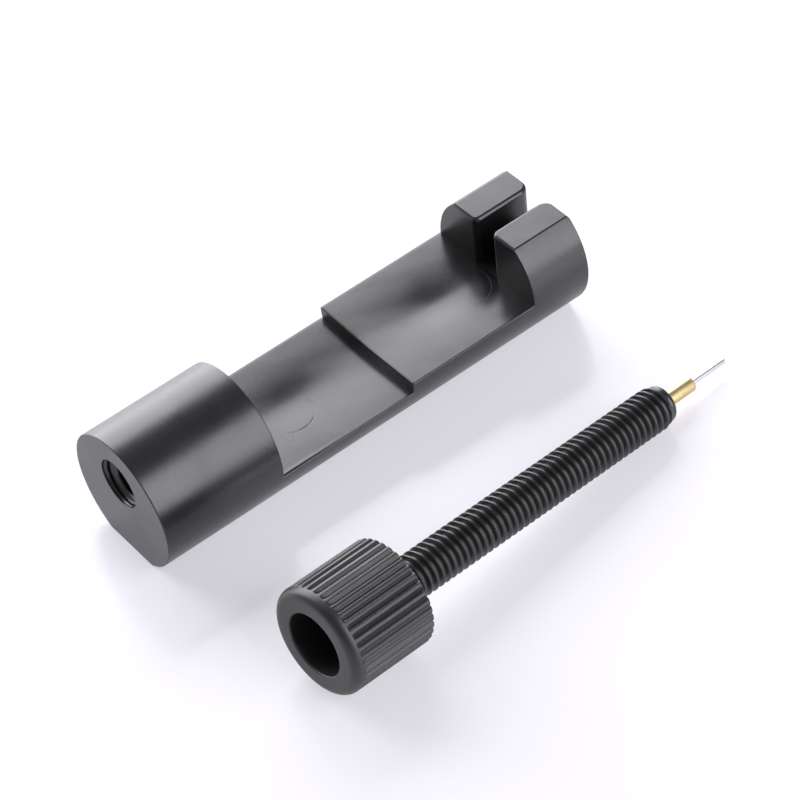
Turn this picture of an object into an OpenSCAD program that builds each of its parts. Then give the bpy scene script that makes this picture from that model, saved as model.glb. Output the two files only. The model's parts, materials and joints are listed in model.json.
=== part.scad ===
// Screw press for pushing the pins out of watch bracelet links.
// A moulded frame stands on its flat underside. Its pressure screw is taken out and lies
// beside it on the same surface, on the rim of its knob and on the last turn of its thread.
// Millimetres. +X runs from the boss to the head, +Z is up, and the origin is the middle of
// the frame's underside.

/* [Frame] */
// Overall length of the frame
frame_len = 66; // [60:0.5:80]
// Radius of the round body that the boss and the head are cut from
body_r = 9.25; // [8.8:0.05:10]
// Height of the round body's centre line above the flat underside
body_rise = 8.25; // [7.9:0.05:8.6]
// How far the flat that breaks each long edge of the underside reaches to each side of it
foot_break = 0.6; // [0.3:0.1:1]
// Length of the threaded boss
boss_len = 17.3; // [14:0.1:20]
// Distance from the boss end to the step between the two floors
step_from_end = 37.4; // [30:0.1:45]
// Height of the lower floor
low_floor = 6.7; // [5:0.1:7.2]
// Height of the upper floor, and of the bottom of the slot in the head
high_floor = 8.3; // [7.8:0.1:8.4]
// Length of the head
head_len = 9; // [7:0.1:12]
// Height of the head's flat top
head_top = 15.5; // [15:0.1:16.5]
// Width of the slot between the head's two ears
slot_w = 2.8; // [2:0.1:3.5]
// Chamfer along the top edges of the slot
slot_chamfer = 0.45; // [0.2:0.05:0.8]

/* [Screw hole] */
// Height of the screw axis above the underside
screw_rise = 11.3; // [11.2:0.05:11.6]
// Radius of the hole at the crests of its thread (M6 x 1 tapping size)
hole_r = 2.5; // [2.4:0.05:2.6]
// Radius of the countersink at each mouth of the hole
hole_mouth_r = 3.4; // [3.1:0.05:3.6]

/* [Pressure screw] */
// Length of the threaded rod in front of the knob
thread_len = 45; // [35:1:50]
// Outer radius of the thread
thread_r = 2.85; // [2.8:0.01:2.9]
// Depth of the thread
thread_depth = 0.55; // [0.4:0.05:0.6]
// Distance from one turn to the next
pitch = 1; // [0.8:0.2:1]
// Length of the plain nose in front of the thread
nose_len = 0.8; // [0.4:0.1:1.5]
// Radius of that nose
nose_r = 2.5; // [2.3:0.05:2.6]
// Radius of the plain stub that is pressed into the knob
stub_r = 2.3; // [2:0.05:2.3]

/* [Knob] */
// Length of the knob
knob_len = 12.3; // [10:0.1:14]
// Radius over the knob's ribs
knob_r = 7.1; // [6.6:0.1:7.5]
// Number of grooves between the ribs
grooves = 38; // [24:1:40]
// Radius of each groove
groove_r = 0.34; // [0.2:0.02:0.4]
// Radius that rounds the knob's rim at the socket end
knob_round = 1.2; // [0.8:0.1:1.5]
// Radius of the deep socket in the knob's end
socket_r = 4.2; // [3.5:0.1:4.5]
// Depth of that socket
socket_depth = 9; // [6:0.1:9.5]

/* [Push pin and its holder] */
// Radius of the brass holder
holder_r = 1; // [0.95:0.05:1.2]
// Length of the holder in front of the rod
holder_len = 4.9; // [3:0.1:6]
// Bevel round the holder's front
holder_bevel = 0.25; // [0.1:0.05:0.4]
// Radius of the holder's stem inside the rod
stem_r = 0.8; // [0.7:0.05:0.9]
// Length of that stem
stem_len = 5; // [3:0.1:6]
// Radial play between the stem and its hole in the rod
stem_play = 0.05; // [0.02:0.01:0.08]
// Radius of the steel push pin
pin_r = 0.35; // [0.25:0.05:0.45]
// Length of the pin in front of its holder
pin_free = 6; // [3:0.1:7]
// Radius of the pin's thicker root, which fills the holder's bore
pin_root_r = 0.55; // [0.55:0.05:0.65]
// Length of that root
pin_root_len = 5.5; // [3:0.1:6]

/* [Where the screw lies] */
// Distance of the knob's socket face from the middle of the frame, along X
lie_back = 29.7; // [25:0.1:32]
// Distance of the knob's centre from the frame's centre line, along Y
lie_aside = 33; // [28:0.1:40]
// Turn of the lying screw about the vertical
lie_yaw = 4.5; // [0:0.1:8]

/* [Hidden] */
$fn = 96;
eps = 0.01;
plastic_black = [0.1, 0.1, 0.105];
knob_black = [0.13, 0.13, 0.135];
brass_yellow = [0.8, 0.66, 0.34];
steel_grey = [0.75, 0.76, 0.78];

// Stations along the frame
boss_end = -frame_len / 2;
boss_face = boss_end + boss_len;
step_x = boss_end + step_from_end;
head_face = frame_len / 2 - head_len;

// Turns of thread, the rod's two ends, and the bevel round its nose
turns = floor(thread_len / pitch);
thread_end = knob_len + thread_len;
rod_end = thread_end + nose_len;
nose_bevel = 0.3;
knob_front_bevel = 0.35;
socket_lip = 0.25;

// The lying screw touches the surface with the knob's front rim and the rod's last turn
rim_x = knob_len - knob_front_bevel;
last_turn_x = thread_end - 0.42 * pitch;
lie_tilt = atan((knob_r - thread_r) / (last_turn_x - rim_x));
float_gap = 0.02;
lie_height = rim_x * sin(lie_tilt) + knob_r * cos(lie_tilt) + float_gap;

// Stands a shape that was drawn along +Z on its side, along +X from x
module along_x(x) {
    translate([x, 0, 0]) rotate([0, 90, 0]) children();
}

// Places the pressure screw, drawn along +X from its socket face, where it lies
module lying() {
    translate([-lie_back, -lie_aside, lie_height]) rotate([0, lie_tilt, lie_yaw]) children();
}

// Stands an outline, drawn in the plane across the frame, along +X over the whole frame
module across(x, len) {
    translate([x, 0, 0]) rotate([90, 0, 90]) linear_extrude(len) children();
}

// Breaks one sharp long edge of the underside with a narrow flat
module foot_corner() {
    edge_angle = acos(body_rise / body_r);
    up_side = edge_angle + foot_break / body_r * 180 / PI;
    inner = [body_r * sin(edge_angle) - foot_break, 0];
    outer = [body_r * sin(up_side), body_rise - body_r * cos(up_side)];
    along = (outer - inner) / norm(outer - inner);
    away = [along[1], -along[0]];
    across(boss_end - 1, frame_len + 2)
        polygon([inner - along, outer + along, outer + along + away, inner - along + away]);
}

module round_bar() {
    difference() {
        translate([0, 0, body_rise]) along_x(boss_end) cylinder(r = body_r, h = frame_len);
        translate([boss_end - 1, -body_r - 1, -2 * body_r]) cube([frame_len + 2, 2 * body_r + 2, 2 * body_r]);
        foot_corner();
        mirror([0, 1, 0]) foot_corner();
    }
}

// A block that clears everything above a height between two stations
module clear_above(x0, x1, z) {
    translate([x0, -body_r - 1, z]) cube([x1 - x0, 2 * body_r + 2, 2 * body_r]);
}

// The slot between the ears, with its chamfered top edges
module head_slot() {
    half = slot_w / 2;
    across(head_face - 1, head_len + 2) polygon([
        [-half, high_floor], [half, high_floor],
        [half, head_top - slot_chamfer], [half + slot_chamfer + 1, head_top + 1],
        [-half - slot_chamfer - 1, head_top + 1], [-half, head_top - slot_chamfer]
    ]);
}

module screw_hole() {
    sink = hole_mouth_r - hole_r;
    translate([0, 0, screw_rise]) {
        along_x(boss_end - 1) cylinder(r = hole_r, h = boss_len + 2);
        along_x(boss_end - eps) cylinder(r1 = hole_mouth_r, r2 = hole_r, h = sink);
        along_x(boss_face - sink + eps) cylinder(r1 = hole_r, r2 = hole_mouth_r, h = sink);
    }
}

module frame() {
    color(plastic_black) difference() {
        round_bar();
        clear_above(boss_face, step_x, low_floor);
        clear_above(step_x - eps, head_face, high_floor);
        clear_above(head_face - eps, frame_len, head_top);
        head_slot();
        screw_hole();
    }
}

// One turn of thread in half section, as [distance along the rod, radius]
function turn_points(x) = [
    [x + 0.10 * pitch, thread_r - thread_depth],
    [x + 0.42 * pitch, thread_r],
    [x + 0.58 * pitch, thread_r],
    [x + 0.90 * pitch, thread_r - thread_depth]
];

// Half section of the rod: its stub, its turns and its bevelled nose
module rod_section() {
    root_r = thread_r - thread_depth;
    polygon(concat(
        [[0, socket_depth], [stub_r, socket_depth], [stub_r, knob_len], [root_r, knob_len]],
        [for (i = [0 : turns - 1]) for (p = turn_points(knob_len + i * pitch)) [p[1], p[0]]],
        [[root_r, thread_end], [nose_r, thread_end],
         [nose_r, rod_end - nose_bevel], [nose_r - nose_bevel, rod_end], [0, rod_end]]
    ));
}

module threaded_rod() {
    color(plastic_black) lying() difference() {
        along_x(0) rotate_extrude() rod_section();
        along_x(rod_end - stem_len - 0.1) cylinder(r = stem_r + stem_play, h = stem_len + 1);
    }
}

// Outer form of the knob: a cylinder with a well rounded rim and a bevelled front
module knob_section() {
    translate([0, knob_round]) square([knob_r, knob_len - knob_round - knob_front_bevel]);
    square([knob_r - knob_round, knob_len]);
    translate([knob_r - knob_round, knob_round]) circle(r = knob_round);
    polygon([
        [0, knob_len - knob_front_bevel - eps],
        [knob_r, knob_len - knob_front_bevel - eps],
        [knob_r, knob_len - knob_front_bevel],
        [knob_r - knob_front_bevel, knob_len],
        [0, knob_len]
    ]);
}

module knob() {
    color(knob_black) lying() difference() {
        along_x(0) rotate_extrude() knob_section();
        for (i = [0 : grooves - 1])
            rotate([i * 360 / grooves, 0, 0]) translate([0, 0, knob_r])
                along_x(knob_round) cylinder(r = groove_r, h = knob_len, $fn = 24);
        along_x(-1) cylinder(r = socket_r, h = socket_depth + 1);
        along_x(-eps) cylinder(r1 = socket_r + socket_lip, r2 = socket_r, h = socket_lip);
        along_x(0) cylinder(r = stub_r, h = knob_len + 1);
    }
}

// Half section of the holder: its stem in the rod and its bevelled barrel
module holder_section() {
    polygon([
        [0, -stem_len], [stem_r, -stem_len], [stem_r, 0],
        [holder_r, 0], [holder_r, holder_len - holder_bevel],
        [holder_r - holder_bevel, holder_len], [0, holder_len]
    ]);
}

module pin_holder() {
    front = rod_end + holder_len;
    color(brass_yellow) lying() difference() {
        along_x(rod_end) rotate_extrude() holder_section();
        along_x(front - pin_root_len) cylinder(r = pin_root_r, h = pin_root_len + 1);
    }
}

module push_pin() {
    front = rod_end + holder_len;
    color(steel_grey) lying() {
        along_x(front - pin_root_len) cylinder(r = pin_root_r, h = pin_root_len);
        along_x(front - eps) cylinder(r = pin_r, h = pin_free - pin_r + eps);
        translate([front + pin_free - pin_r, 0, 0]) sphere(r = pin_r);
    }
}

frame();
threaded_rod();
knob();
pin_holder();
push_pin();
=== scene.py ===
"""Looks of the bracelet pin press: a moulded frame and its pressure screw, lying beside it.

The pieces' sizes are in millimetres, and new_object() turns them into Blender's metres. The
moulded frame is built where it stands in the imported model. The screw's pieces are built along
their own X axis, and the joint screw_spin says where that axis lies.
"""

import json
import math

import bmesh
import bpy
import numpy as np
from mathutils import Matrix, Vector


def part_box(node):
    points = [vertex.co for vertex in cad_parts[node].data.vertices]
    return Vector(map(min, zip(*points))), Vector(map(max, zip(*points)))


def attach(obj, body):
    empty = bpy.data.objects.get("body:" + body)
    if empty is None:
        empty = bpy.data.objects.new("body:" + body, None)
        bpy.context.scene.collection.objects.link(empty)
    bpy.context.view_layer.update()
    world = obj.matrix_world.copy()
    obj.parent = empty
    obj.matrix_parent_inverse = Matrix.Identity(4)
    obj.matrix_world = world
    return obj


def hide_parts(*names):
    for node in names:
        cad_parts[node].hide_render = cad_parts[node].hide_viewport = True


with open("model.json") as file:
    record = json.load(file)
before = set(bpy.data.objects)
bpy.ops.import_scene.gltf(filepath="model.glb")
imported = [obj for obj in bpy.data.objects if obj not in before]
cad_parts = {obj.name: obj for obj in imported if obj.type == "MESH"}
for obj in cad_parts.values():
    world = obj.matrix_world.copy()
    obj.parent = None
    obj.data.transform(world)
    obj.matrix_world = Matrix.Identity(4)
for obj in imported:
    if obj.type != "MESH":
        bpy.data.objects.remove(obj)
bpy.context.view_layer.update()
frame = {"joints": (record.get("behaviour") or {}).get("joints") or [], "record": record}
MM = 0.001

# ---------------------------------------------------------------- dimensions, in millimetres
# The moulded frame, along X from its boss to its head
LO, HI = (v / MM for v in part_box("frame"))
BODY_R = HI.y
BODY_RISE = HI.z - BODY_R
BOSS_FACE = LO.x + 17.3
STEP_X = LO.x + 37.4
HEAD_FACE = HI.x - 9.0
LOW_FLOOR, HIGH_FLOOR, HEAD_TOP = 6.7, 8.3, 15.5
SLOT_HALF = 1.4

# How deep each floor sinks, how far that reaches to each side, and the line it is deepest on
SINK_DEPTH, SINK_REACH, SINK_Y = 0.32, 5.2, 0.2
# The upper floor sinks less beside the step, by this share and over this length
STEP_SHARE, STEP_REACH = 0.3, 4.0
# The dent in each floor: x, y, depth and reach along X. Both reach as far along Y
LOW_DENT = (BOSS_FACE + 8.0, 0.3, 0.18, 4.4)
HIGH_DENT = (HEAD_FACE - 7.8, -0.3, 0.29, 4.6)
DENT_REACH_Y = 2.8
# The ejector pin's mark in each floor: x, y, radius, direction in degrees, depth
LOW_MARK = (BOSS_FACE + 6.8, -1.0, 3.3, -60, 0.03)
HIGH_MARK = (HEAD_FACE - 4.5, -0.1, 3.9, -30, 0.012)

# The threaded hole, at its crests, its roots and its mouths
HOLE = next(m for m in frame["record"]["mounts"] if m["name"] == "screw_hole")
SCREW_RISE = HOLE["pos_m"][2] / MM
THREAD_HOLE_R, THREAD_HOLE_ROOT, HOLE_MOUTH_R = HOLE["dims"]["r_mm"], 3.02, 3.45
PITCH = 1.0

# The pressure screw, along its own axis from the socket end of its knob
KNOB_LEN, KNOB_R, KNOB_ROUND = 12.3, 7.1, 1.2
RIBS, GROOVE_DEPTH, GROOVE_HALF = 38, 0.36, 0.4
# Turn of the ribs that puts them where the picture has them, in degrees
RIB_TURN = 7.11
# Where the grooves between the ribs are at full depth, and how far before that they start
GROOVE_FULL, GROOVE_RUN_OUT = 2.2, 1.0
SOCKET_R, SOCKET_DEPTH, STUB_R = 4.2, 9.0, 2.3
THREAD_END, ROD_END = 57.3, 58.1
THREAD_R, THREAD_ROOT, NOSE_R = 2.84, 2.3, 2.5
HOLDER_R, HOLDER_END = 1.0, 63.0
STEM_R, STEM_LEN, STEM_PLAY = 0.8, 5.0, 0.06
PIN_R, PIN_END, PIN_ROOT_LEN = 0.35, 69.0, 5.3

# Where the screw lies
SPIN = next(j for j in frame["joints"] if j["name"] == "screw_spin")
AXIS = Vector(SPIN["axis"]).normalized()
SIDE = Vector((-AXIS.y, AXIS.x, 0.0)).normalized()
TURNED = Matrix((AXIS, SIDE, AXIS.cross(SIDE))).transposed().to_4x4()
SCREW = Matrix.Translation(SPIN["pos_m"]) @ TURNED


# ---------------------------------------------------------------- mesh helpers
def new_object(name, verts, faces):
    """A mesh object from points in millimetres."""
    mesh = bpy.data.meshes.new(name)
    mesh.from_pydata([[c * MM for c in v] for v in verts], [], faces)
    mesh.update()
    obj = bpy.data.objects.new(name, mesh)
    bpy.context.scene.collection.objects.link(obj)
    return obj


def outward(obj):
    """Turns every face of a closed mesh outwards."""
    bm = bmesh.new()
    bm.from_mesh(obj.data)
    bmesh.ops.recalc_face_normals(bm, faces=bm.faces)
    bm.to_mesh(obj.data)
    bm.free()


def loft(name, sections, closed=False):
    """A solid through sections that have the same number of points. A closed one goes on from
    its last section to its first; an open one is capped at both ends."""
    n, count = len(sections[0]), len(sections)
    faces = []
    for i in range(count if closed else count - 1):
        a, b = i * n, (i + 1) % count * n
        faces += [(a + k, a + (k + 1) % n, b + (k + 1) % n, b + k) for k in range(n)]
    if not closed:
        faces += [tuple(range(n))[::-1], tuple(range((count - 1) * n, count * n))]
    obj = new_object(name, [point for section in sections for point in section], faces)
    outward(obj)
    return obj


def prism(name, outline, x0, x1):
    """A solid with an outline of (y, z) points, from x0 to x1."""
    return loft(name, [[(x, y, z) for y, z in outline] for x in (x0, x1)])


def rings(name, rows, closed=False):
    """A surface through rings about the X axis. A row is (station, radii round the ring).
    An open one is closed at both ends by a fan to the axis."""
    count = len(rows[0][1])
    angles = np.arange(count) * 2 * math.pi / count
    verts, faces = [], []
    for s, radii in rows:
        verts += [(s, r * math.cos(a), r * math.sin(a)) for r, a in zip(radii, angles)]
    for i in range(len(rows) if closed else len(rows) - 1):
        a, b = i * count, (i + 1) % len(rows) * count
        faces += [(a + k, a + (k + 1) % count, b + (k + 1) % count, b + k) for k in range(count)]
    if not closed:
        for a, station in ((0, rows[0][0]), ((len(rows) - 1) * count, rows[-1][0])):
            verts.append((station, 0, 0))
            tip = len(verts) - 1
            faces += [(a + k, a + (k + 1) % count, tip) for k in range(count)]
    obj = new_object(name, verts, faces)
    outward(obj)
    return obj


def apply_modifiers(obj):
    """Replaces the object's mesh by the one its modifiers make."""
    bpy.context.view_layer.update()
    graph = bpy.context.evaluated_depsgraph_get()
    mesh = bpy.data.meshes.new_from_object(obj.evaluated_get(graph))
    obj.modifiers.clear()
    obj.data = mesh


def subtract(obj, *cutters):
    """Cuts the cutters out of the object, and removes them."""
    for cutter in cutters:
        mod = obj.modifiers.new("cut", "BOOLEAN")
        mod.operation, mod.solver, mod.object = "DIFFERENCE", "MANIFOLD", cutter
        apply_modifiers(obj)
        bpy.data.objects.remove(cutter)


def smooth(obj, angle=35):
    """Shades smoothly, apart from edges sharper than an angle in degrees."""
    obj.data.shade_smooth()
    obj.data.set_sharp_from_angle(angle=math.radians(angle))


def arc(cx, cy, r, a0, a1, steps):
    """Points on a circle, from angle a0 to a1 in degrees."""
    return [
        (cx + r * math.cos(math.radians(a)), cy + r * math.sin(math.radians(a)))
        for a in np.linspace(a0, a1, steps + 1)
    ]


# ---------------------------------------------------------------- the moulded frame
def body_outline():
    """The round body with its flat underside, whose two long edges are rounded."""
    fillet = 0.9
    # centre of a fillet that touches the circle from inside and the flat underside
    y = math.sqrt((BODY_R - fillet) ** 2 - (BODY_RISE - fillet) ** 2)
    turn = math.degrees(math.atan2(y, BODY_RISE - fillet))
    right = arc(y, fillet, fillet, -90, -90 + turn, 8)
    top = arc(0, BODY_RISE, BODY_R, -90 + turn, 270 - turn, 180)
    left = arc(-y, fillet, fillet, 270 - turn, 270, 8)
    return right + top[1:-1] + left


def clearing(name, x0, x1, z):
    """A cutter for everything above a height between two stations."""
    w = BODY_R + 2
    return prism(name, [(-w, z), (w, z), (w, z + 3 * BODY_R), (-w, z + 3 * BODY_R)], x0, x1)


def sunk(x, y, z, dent):
    """Height of a moulded floor: it sinks towards its middle, most at its dent, and it carries
    a fine ridge along its edge next to the boss."""
    edge = math.sqrt(BODY_R**2 - (z - BODY_RISE) ** 2)
    dent_x, dent_y, depth, length = dent
    low = SINK_DEPTH * math.exp(-(((y - SINK_Y) / SINK_REACH) ** 2))
    if z == HIGH_FLOOR:
        low *= 1 - STEP_SHARE * math.exp(-(((x - STEP_X) / STEP_REACH) ** 2))
    low += depth * math.exp(-(((x - dent_x) / length) ** 2 + ((y - dent_y) / DENT_REACH_Y) ** 2))
    # a waviness of a few microns, and the ridge: 0.05 high, 0.42 inside the near edge
    wave = 0.004 * math.sin(1.1 * x + 0.7 * y) * math.sin(0.9 * y - 0.5 * x + 1.0)
    ridge = 0.05 * math.exp(-(((y + edge - 0.42) / 0.09) ** 2 + ((x - BOSS_FACE) / 6.0) ** 2))
    return z - low + wave + ridge


def floor_cutter(name, x0, x1, z, dent):
    """A cutter like clearing(), whose underside is the moulded floor's slightly uneven surface."""
    edge = math.sqrt(BODY_R**2 - (z - BODY_RISE) ** 2)
    # the points are closer together across the ridge beside the near edge
    near = -edge + np.array([-1.5, 0.25, 0.33, 0.42, 0.51, 0.6])
    ys = np.concatenate([near, np.linspace(-edge + 1.0, edge - 0.5, 50), [edge + 1.5]])
    top = z + 3 * BODY_R
    sections = []
    for x in np.linspace(x0, x1, 57):
        floor = [(x, y, sunk(x, y, z, dent)) for y in ys]
        sections.append(floor + [(x, ys[-1], top), (x, ys[0], top)])
    return loft(name, sections)


def slot_side(flare):
    """One side of the head's slot in plan, with its rounded upright corners, moved outwards by
    the flare of its top edge. In front and behind it moves by less."""
    front, rear, end_share = 0.9, 1.5, 0.6
    side = []
    for x, radius, a0 in ((HEAD_FACE + front, front, 180), (HI.x - rear, rear, 270)):
        for a in np.radians(np.linspace(a0, a0 + 90, 11)):
            along = (radius - end_share * flare) * math.cos(a)
            aside = (radius - flare) * math.sin(a)
            side.append((x + along, SLOT_HALF + radius + aside))
    return side


def slot_cutter():
    """The slot between the ears. Its bottom goes on from the upper floor."""
    side = slot_side(0)
    side = [(HEAD_FACE - 0.05, side[0][1])] + side + [(HI.x + 1, side[-1][1])]
    outline = side + [(x, -y) for x, y in reversed(side)]
    bottom = sunk(HEAD_FACE, 0, HIGH_FLOOR, HIGH_DENT)
    return loft("slot", [[(x, y, z) for x, y in outline] for z in (bottom, HEAD_TOP + 2)])


def brim_cutter():
    """What rounds the ears' top edges along the slot, and more tightly in front and behind."""
    radius, wide = 0.55, BODY_R + 2
    sections = []
    for a in np.radians(np.linspace(0, 90, 9)):
        z = HEAD_TOP - radius + radius * math.sin(a)
        inner = slot_side(radius * (1 - math.cos(a)))
        x0, x1 = inner[0][0] - 0.01, inner[-1][0] + 0.01
        side = [(HEAD_FACE - 1, wide), (x0, wide)] + inner + [(x1, wide), (HI.x + 1, wide)]
        sections.append([(x, y, z) for x, y in side + [(x, -y) for x, y in reversed(side)]])
    sections.append([(x, y, z + 1) for x, y, z in sections[-1]])
    return loft("brim", sections)


def thread_wave(phase):
    """Height of a thread, 0 at its root to 1 at its crest, with rounded crest and root. The
    phase counts turns."""
    flat, rounded = 0.14, 0.55
    t = np.abs((phase % 1.0) - 0.5) * 2
    h = np.clip((1 - flat - t) / (1 - 2 * flat), 0, 1)
    return h * h * (3 - 2 * h) * rounded + h * (1 - rounded)


def hole_cutter():
    """The threaded hole: mouths with rounded lips and a right-hand thread that fades in."""
    count, x0, x1, lip = 96, LO.x, BOSS_FACE, 0.1
    # the thread starts this deep in the hole and is full after the fade
    start, fade = 0.25, 1.3
    turn = np.arange(count) / count
    bore = HOLE_MOUTH_R - lip
    rows = [(x0 - 1, np.full(count, HOLE_MOUTH_R))]
    front_lip, rear_lip = np.linspace(x0, x0 + lip, 5), np.linspace(x1 - lip, x1, 5)
    between = np.arange(x0 + 0.2, x1 - 0.15, PITCH / 12)
    for s in np.concatenate([front_lip, between, rear_lip]):
        depth = max(min(s - x0, x1 - s), 0.0)
        full = min(max(depth - start, 0.0) / fade, 1.0)
        wall = bore - (bore - THREAD_HOLE_ROOT) * full
        if depth < lip:
            wall += lip - math.sqrt(max(lip**2 - (lip - depth) ** 2, 0))
        crest = (THREAD_HOLE_ROOT - THREAD_HOLE_R) * full * thread_wave(s / PITCH - turn)
        rows.append((s, wall - crest))
    rows.append((x1 + 1, np.full(count, HOLE_MOUTH_R)))
    obj = rings("hole", rows)
    obj.data.transform(Matrix.Translation((0, 0, SCREW_RISE * MM)))
    return obj


def mark_cutter(x, y, radius, toward, deep, z, dent):
    """The fine arc that the edge of an ejector pin leaves in a moulded floor. It is deepest
    towards one direction in plan and fades out to both sides, where the cutter leaves the floor."""
    count, width, slope, height, lift = 120, 0.07, 0.02, 0.6, 0.35
    profile = ((0, 0), (width, slope), (width, height), (-width, height), (-width, slope))
    sections = []
    for a in np.arange(count) * 2 * math.pi / count:
        way = np.array([math.cos(a), math.sin(a)])
        depth = deep * (math.cos(a - math.radians(toward)) - lift)
        section = []
        for off, rise in profile:
            px, py = (x, y) + (radius + off) * way
            section.append((px, py, sunk(px, py, z, dent) - depth + rise))
        sections.append(section)
    return loft("mark", sections, closed=True)


def soften(obj):
    """Rounds the frame's sharp outer edges finely."""
    sharp = math.radians(28)
    bm = bmesh.new()
    bm.from_mesh(obj.data)
    weight = bm.edges.layers.float.new("bevel_weight_edge")
    for edge in bm.edges:
        edge[weight] = float(edge.is_convex and edge.calc_face_angle(0) > sharp)
    bm.to_mesh(obj.data)
    bm.free()
    mod = obj.modifiers.new("bevel", "BEVEL")
    mod.width, mod.segments, mod.limit_method = 0.15 * MM, 3, "WEIGHT"
    mod.use_clamp_overlap = False
    apply_modifiers(obj)


def drop_slivers(obj):
    """Deletes the pairs of faces back to back that a cut can leave."""
    bm = bmesh.new()
    bm.from_mesh(obj.data)
    alike = {}
    for face in bm.faces:
        alike.setdefault(frozenset(v.index for v in face.verts), []).append(face)
    pairs = [face for faces in alike.values() if len(faces) > 1 for face in faces]
    bmesh.ops.delete(bm, geom=pairs, context="FACES")
    bm.to_mesh(obj.data)
    bm.free()


def build_frame():
    """The frame: the body, less what clears its floors, its slot and its hole."""
    obj = prism("frame_body", body_outline(), LO.x, HI.x)
    subtract(
        obj,
        floor_cutter("low", BOSS_FACE, STEP_X, LOW_FLOOR, LOW_DENT),
        floor_cutter("high", STEP_X - 0.01, HEAD_FACE, HIGH_FLOOR, HIGH_DENT),
        clearing("top", HEAD_FACE - 0.01, HI.x + 1, HEAD_TOP),
        slot_cutter(),
    )
    soften(obj)
    subtract(
        obj,
        brim_cutter(),
        hole_cutter(),
        mark_cutter(*LOW_MARK, LOW_FLOOR, LOW_DENT),
        mark_cutter(*HIGH_MARK, HIGH_FLOOR, HIGH_DENT),
    )
    drop_slivers(obj)
    smooth(obj, 30)
    mod = obj.modifiers.new("even", "WEIGHTED_NORMAL")
    mod.keep_sharp, mod.weight = True, 80
    return obj


# ---------------------------------------------------------------- the pressure screw
def even_rows(points, count):
    """Rows for rings() from (station, radius) points, each the same all round."""
    return [(s, np.full(count, r)) for s, r in points]


def build_rod():
    """The threaded rod, from its stub in the knob to the hole for the holder in its nose."""
    count = 96
    turn = np.arange(count) / count
    thread_start, stub_r = KNOB_LEN - 0.1, STUB_R - 0.02
    rows = even_rows([(SOCKET_DEPTH, stub_r), (thread_start, stub_r)], count)
    for s in np.arange(thread_start, THREAD_END, PITCH / 14):
        # over the last turn the crest falls and the root rises towards the nose's radius
        last_turn = max(0.0, s - (THREAD_END - PITCH))
        crest = THREAD_R - 0.33 * last_turn
        root = THREAD_ROOT + 0.19 * last_turn
        wave = thread_wave(s / PITCH - turn)
        rows.append((s, np.clip(THREAD_ROOT + (THREAD_R - THREAD_ROOT) * wave, root, crest)))
    nose_round, bore, bore_end = 0.6, STEM_R + STEM_PLAY, ROD_END - STEM_LEN - 0.1
    nose = [(THREAD_END + 0.02, NOSE_R)]
    nose += arc(ROD_END - nose_round, NOSE_R - nose_round, nose_round, 90, 0, 8)
    nose += [(ROD_END, bore), (bore_end, bore)]
    obj = rings("threaded_rod_body", rows + even_rows(nose, count))
    smooth(obj, 50)
    return obj


def rib_depth(count):
    """Depth below the ribs' tops round the knob: a rounded V every rib."""
    angle = np.arange(count) * 360 / count
    pitch = 360 / RIBS
    off = (angle - RIB_TURN + pitch / 2) % pitch - pitch / 2
    t = np.clip(np.abs(np.radians(off)) * KNOB_R / GROOVE_HALF, 0, 1)
    return GROOVE_DEPTH * (1 - t) * (1 + 0.6 * t * (1 - t))


def build_knob():
    """The ribbed knob: its socket, its rounded rim, its ribs, its front and its bore."""
    count = RIBS * 16
    depth = rib_depth(count)
    corner, lip, front_round = 0.4, 0.22, 0.2
    inside = [(SOCKET_DEPTH, STUB_R), (SOCKET_DEPTH, SOCKET_R - corner)]
    inside += arc(SOCKET_DEPTH - corner, SOCKET_R - corner, corner, 0, 90, 5)[1:]
    inside += [(0.6, SOCKET_R)] + arc(lip, SOCKET_R + lip, lip, 270, 180, 7)
    rows = even_rows(inside, count)
    outside = arc(KNOB_ROUND, KNOB_R - KNOB_ROUND, KNOB_ROUND, 180, 90, 14)
    outside += [(s, KNOB_R) for s in np.arange(1.35, 2.6, 0.1)]
    outside += [(KNOB_LEN - 0.35, KNOB_R)]
    outside += arc(KNOB_LEN - front_round, KNOB_R - front_round, front_round, 90, 0, 4)
    for s, r in outside:
        before = max(0.0, GROOVE_FULL - s) / GROOVE_RUN_OUT
        run_out = np.sqrt(np.clip(1 - before**2, 0, 1))
        rows.append((s, np.minimum(r, KNOB_R - depth * run_out)))
    rows += even_rows([(KNOB_LEN, KNOB_R - 0.75), (KNOB_LEN, STUB_R)], count)
    obj = rings("knob_body", rows, closed=True)
    smooth(obj, 40)
    return obj


def build_holder():
    """The turned holder: its stem in the rod, its rounded barrel and its bore for the pin."""
    back, lip, rounding, bore = ROD_END + 0.01, 0.08, 0.28, PIN_R + 0.01
    points = [(ROD_END - STEM_LEN, STEM_R), (back, STEM_R)]
    points += [(back, HOLDER_R - lip), (back + lip, HOLDER_R)]
    points += arc(HOLDER_END - rounding, HOLDER_R - rounding, rounding, 90, 0, 6)
    points += [(HOLDER_END, PIN_R + 0.05), (HOLDER_END - 0.05, bore)]
    points += [(HOLDER_END - PIN_ROOT_LEN - 0.1, bore)]
    obj = rings("pin_holder_body", even_rows(points, 64))
    smooth(obj)
    return obj


def build_pin():
    """The steel pin, from its root in the holder to its rounded tip."""
    rounding = 0.12
    points = [(HOLDER_END - PIN_ROOT_LEN, PIN_R)]
    points += arc(PIN_END - rounding, PIN_R - rounding, rounding, 90, 0, 5)
    obj = rings("push_pin_body", even_rows(points, 48))
    smooth(obj)
    return obj


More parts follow.
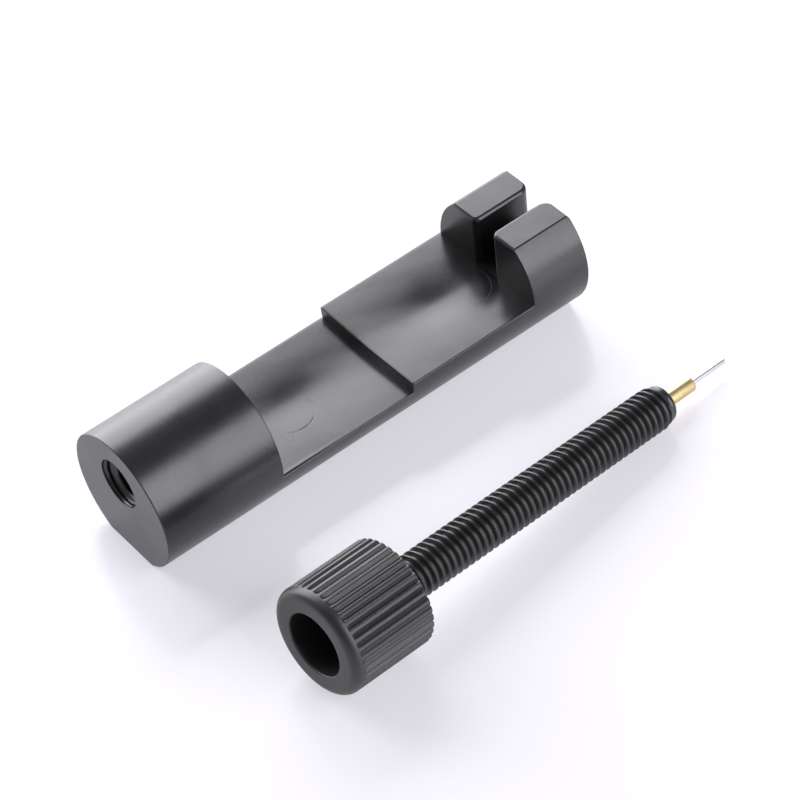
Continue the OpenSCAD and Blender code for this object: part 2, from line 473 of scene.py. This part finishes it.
# ---------------------------------------------------------------- materials
class Nodes:
    """Short calls for building one material's nodes."""

    def __init__(self, name):
        self.material = bpy.data.materials.new(name)
        self.material.use_nodes = True
        self.tree = self.material.node_tree
        self.shader = self.tree.nodes["Principled BSDF"]
        self.coords = self.tree.nodes.new("ShaderNodeTexCoord").outputs["Object"]

    def add(self, kind, inputs=None, **settings):
        """A node. Its inputs are values or sockets of other nodes."""
        node = self.tree.nodes.new("ShaderNode" + kind)
        for key, value in settings.items():
            setattr(node, key, value)
        for key, value in (inputs or {}).items():
            if isinstance(value, bpy.types.NodeSocket):
                self.tree.links.new(value, node.inputs[key])
            else:
                node.inputs[key].default_value = value
        return node

    def noise(self, scale, detail, stretch=(1, 1, 1), roughness=0.5):
        """Noise with features of 1 / scale metres. Along an axis with a stretch below 1 they are
        longer."""
        at = self.add("Mapping", {"Vector": self.coords, "Scale": stretch}).outputs[0]
        inputs = {"Vector": at, "Scale": scale, "Detail": detail, "Roughness": roughness}
        return self.add("TexNoise", inputs).outputs["Fac"]

    def span(self, noise, low, high):
        """Brings a noise, which is mostly between 0.3 and 0.7, to another range."""
        inputs = {"Value": noise, "From Min": 0.3, "From Max": 0.7, "To Min": low, "To Max": high}
        return self.add("MapRange", inputs).outputs[0]

    def mix(self, factor, a, b):
        """A colour between two colours."""
        node = self.add("Mix", data_type="RGBA")
        self.tree.links.new(factor, node.inputs["Factor"])
        node.inputs["A"].default_value, node.inputs["B"].default_value = (*a, 1), (*b, 1)
        return node.outputs["Result"]

    def sum(self, a, b):
        return self.add("Math", {0: a, 1: b}, operation="ADD").outputs[0]

    def bump(self, height, millimetres, after=None):
        """A relief of a height in millimetres, on top of another one."""
        inputs = {"Height": height, "Distance": millimetres * MM, "Strength": 1.0}
        if after is not None:
            inputs["Normal"] = after
        return self.add("Bump", inputs).outputs[0]

    def set(self, **values):
        """Sets or links the shader's inputs by name."""
        for key, value in values.items():
            socket = self.shader.inputs[key.replace("_", " ")]
            if isinstance(value, bpy.types.NodeSocket):
                self.tree.links.new(value, socket)
            else:
                socket.default_value = value


def moulded_plastic(name, dark, light, rough, grain, swell=0.0, lay=0.0, ior=1.6):
    """Black moulded plastic: slow changes of tone and gloss, a fine grain, a slow swell and the
    lay of the mould's turned cavity, which runs round the part. Reliefs are in millimetres."""
    n = Nodes(name)
    slow = n.noise(180, 3)
    fine = n.noise(9000, 3)
    n.set(Base_Color=n.mix(n.span(n.noise(420, 5), 0, 1), dark, light))
    n.set(Roughness=n.sum(n.span(slow, rough[0], rough[1]), n.span(fine, -0.015, 0.015)))
    normal = n.bump(n.noise(6500, 4, roughness=0.65), grain)
    if swell:
        normal = n.bump(slow, swell, after=normal)
    if lay:
        normal = n.bump(n.noise(2400, 2, stretch=(1, 0.3, 0.3)), lay, after=normal)
    n.set(Normal=normal, IOR=ior)
    return n.material


def turned_metal(name, base, worn, rough, rings_per_mm, cut):
    """Turned or ground metal: fine rings round its axis, slight changes of colour and gloss."""
    n = Nodes(name)
    lines = n.noise(rings_per_mm / MM, 2, stretch=(1, 0.02, 0.02))
    gloss = n.noise(2500, 3, stretch=(1, 0.2, 0.2))
    n.set(Base_Color=n.mix(n.span(n.noise(900, 4), 0, 1), base, worn))
    n.set(Roughness=n.span(gloss, rough[0], rough[1]), Metallic=1.0)
    n.set(Normal=n.bump(lines, cut))
    return n.material


def assign(obj, *materials):
    """Gives the object these materials in place of any it has."""
    obj.data.materials.clear()
    for m in materials:
        obj.data.materials.append(m)


def level_faces(obj):
    """Gives the second material to the two moulded floors and to the ears' flat tops."""
    # such a face points up, and lies no further than this from the height it is moulded at
    upright, deepest = 0.9, 0.8
    for p in obj.data.polygons:
        c = p.center / MM
        height = LOW_FLOOR if c.x < STEP_X else HIGH_FLOOR if c.x < HEAD_FACE else HEAD_TOP
        past_boss = c.x > BOSS_FACE - 0.1
        if past_boss and p.normal.z > upright and abs(c.z - height) < deepest:
            p.material_index = 1


# ---------------------------------------------------------------- pieces
frame_body = build_frame()
frame_skin = moulded_plastic(
    "frame_skin",
    dark=(0.0045, 0.005, 0.0057), light=(0.0068, 0.0073, 0.008),
    rough=(0.27, 0.33), grain=0.01, lay=0.016,
)
frame_levels = moulded_plastic(
    "frame_levels",
    dark=(0.0045, 0.0052, 0.0058), light=(0.0068, 0.0075, 0.0082),
    rough=(0.22, 0.28), grain=0.002, swell=0.03, ior=1.54,
)
assign(frame_body, frame_skin, frame_levels)
level_faces(frame_body)

rod_body, knob_body = build_rod(), build_knob()
holder_body, pin_body = build_holder(), build_pin()
rod_skin = moulded_plastic(
    "rod_skin",
    dark=(0.0065, 0.0065, 0.007), light=(0.01, 0.01, 0.0105),
    rough=(0.26, 0.34), grain=0.003,
)
knob_skin = moulded_plastic(
    "knob_skin",
    dark=(0.009, 0.009, 0.0097), light=(0.013, 0.013, 0.0137),
    rough=(0.4, 0.48), grain=0.008,
)
brass = turned_metal(
    "brass_turned",
    base=(0.66, 0.52, 0.28), worn=(0.59, 0.45, 0.23),
    rough=(0.34, 0.4), rings_per_mm=14, cut=0.0006,
)
steel = turned_metal(
    "steel_ground",
    base=(0.66, 0.65, 0.67), worn=(0.58, 0.57, 0.59),
    rough=(0.36, 0.44), rings_per_mm=25, cut=0.0006,
)
assign(rod_body, rod_skin)
assign(knob_body, knob_skin)
assign(holder_body, brass)
assign(pin_body, steel)

for piece, body, node, slot in (
    (frame_body, "frame", "frame", "frame_plastic"),
    (rod_body, "screw", "threaded_rod", "rod_plastic"),
    (knob_body, "screw", "knob", "knob_plastic"),
    (holder_body, "tip", "pin_holder", "brass"),
    (pin_body, "tip", "push_pin", "steel"),
):
    if piece is not frame_body:
        piece.matrix_world = SCREW
    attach(piece, body)
    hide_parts(node)


# ---------------------------------------------------------------- table, light and camera
# The colour of the lamps and of the sky, a very pale lilac
PALE = (0.975, 0.975, 1.025)


def build_table():
    """A white, glossy and slightly lit table top, 6 m square."""
    half = 3.0 / MM
    corners = [(x * half, y * half, 0) for x, y in ((-1, -1), (1, -1), (1, 1), (-1, 1))]
    obj = new_object("table_top", corners, [(0, 1, 2, 3)])
    n = Nodes("table_white")
    n.set(Base_Color=n.mix(n.span(n.noise(6, 2), 0, 1), (0.4, 0.392, 0.4), (0.42, 0.412, 0.42)))
    n.set(Emission_Color=(1.0, 0.975, 1.06, 1), Emission_Strength=0.465)
    n.set(Roughness=n.span(n.noise(40, 2), 0.18, 0.22), IOR=1.4)
    assign(obj, n.material)


def softbox(name, azimuth, elevation, distance, width, height, radiance):
    """A rectangular lamp that faces the object. Azimuth is from +Y towards +X. Distance and
    size are in metres."""
    light = bpy.data.lights.new(name, "AREA")
    light.shape, light.size, light.size_y = "RECTANGLE", width, height
    light.energy = radiance * math.pi * width * height
    light.color = PALE
    obj = bpy.data.objects.new(name, light)
    a, e = math.radians(azimuth), math.radians(elevation)
    way = Vector((math.sin(a) * math.cos(e), math.cos(a) * math.cos(e), math.sin(e)))
    obj.location = way * distance
    obj.rotation_mode = "QUATERNION"
    obj.rotation_quaternion = way.to_track_quat("Z", "Y")
    bpy.context.scene.collection.objects.link(obj)


def build_sky():
    """Dim light from all round."""
    world = bpy.data.worlds.new("studio")
    world.use_nodes = True
    background = world.node_tree.nodes["Background"]
    background.inputs["Color"].default_value = (*PALE, 1)
    background.inputs["Strength"].default_value = 0.28
    bpy.context.scene.world = world


def build_camera():
    """The camera of the picture: a long lens, looking down on the object from its boss end."""
    # the direction that it looks in, from +Y towards +X and below the horizon, and its roll
    azimuth, elevation, roll = (math.radians(v) for v in (34.29, 46.54, -6.68))
    distance, target = 0.3915, Vector((2.84, -8.32, 6.0)) * MM
    level = math.cos(elevation)
    ahead = Vector((math.sin(azimuth) * level, math.cos(azimuth) * level, -math.sin(elevation)))
    right = ahead.cross(Vector((0, 0, 1))).normalized()
    up = right.cross(ahead)
    cos, sin = math.cos(roll), math.sin(roll)
    right, up = cos * right + sin * up, cos * up - sin * right
    turned = Matrix((right, up, -ahead)).transposed().to_4x4()
    camera = bpy.data.objects.new("camera", bpy.data.cameras.new("camera"))
    camera.data.lens, camera.data.sensor_width, camera.data.clip_start = 143.8, 36.0, 0.01
    camera.matrix_world = Matrix.Translation(target - ahead * distance) @ turned
    bpy.context.scene.collection.objects.link(camera)
    bpy.context.scene.camera = camera


build_table()
softbox(
    "back_light", azimuth=8, elevation=26.5,
    distance=1.3, width=2.0, height=1.25, radiance=5.6,
)
softbox(
    "front_light", azimuth=158, elevation=30,
    distance=1.3, width=0.9, height=1.25, radiance=4.7,
)
build_sky()
bpy.context.scene.view_settings.view_transform = "Standard"
build_camera()
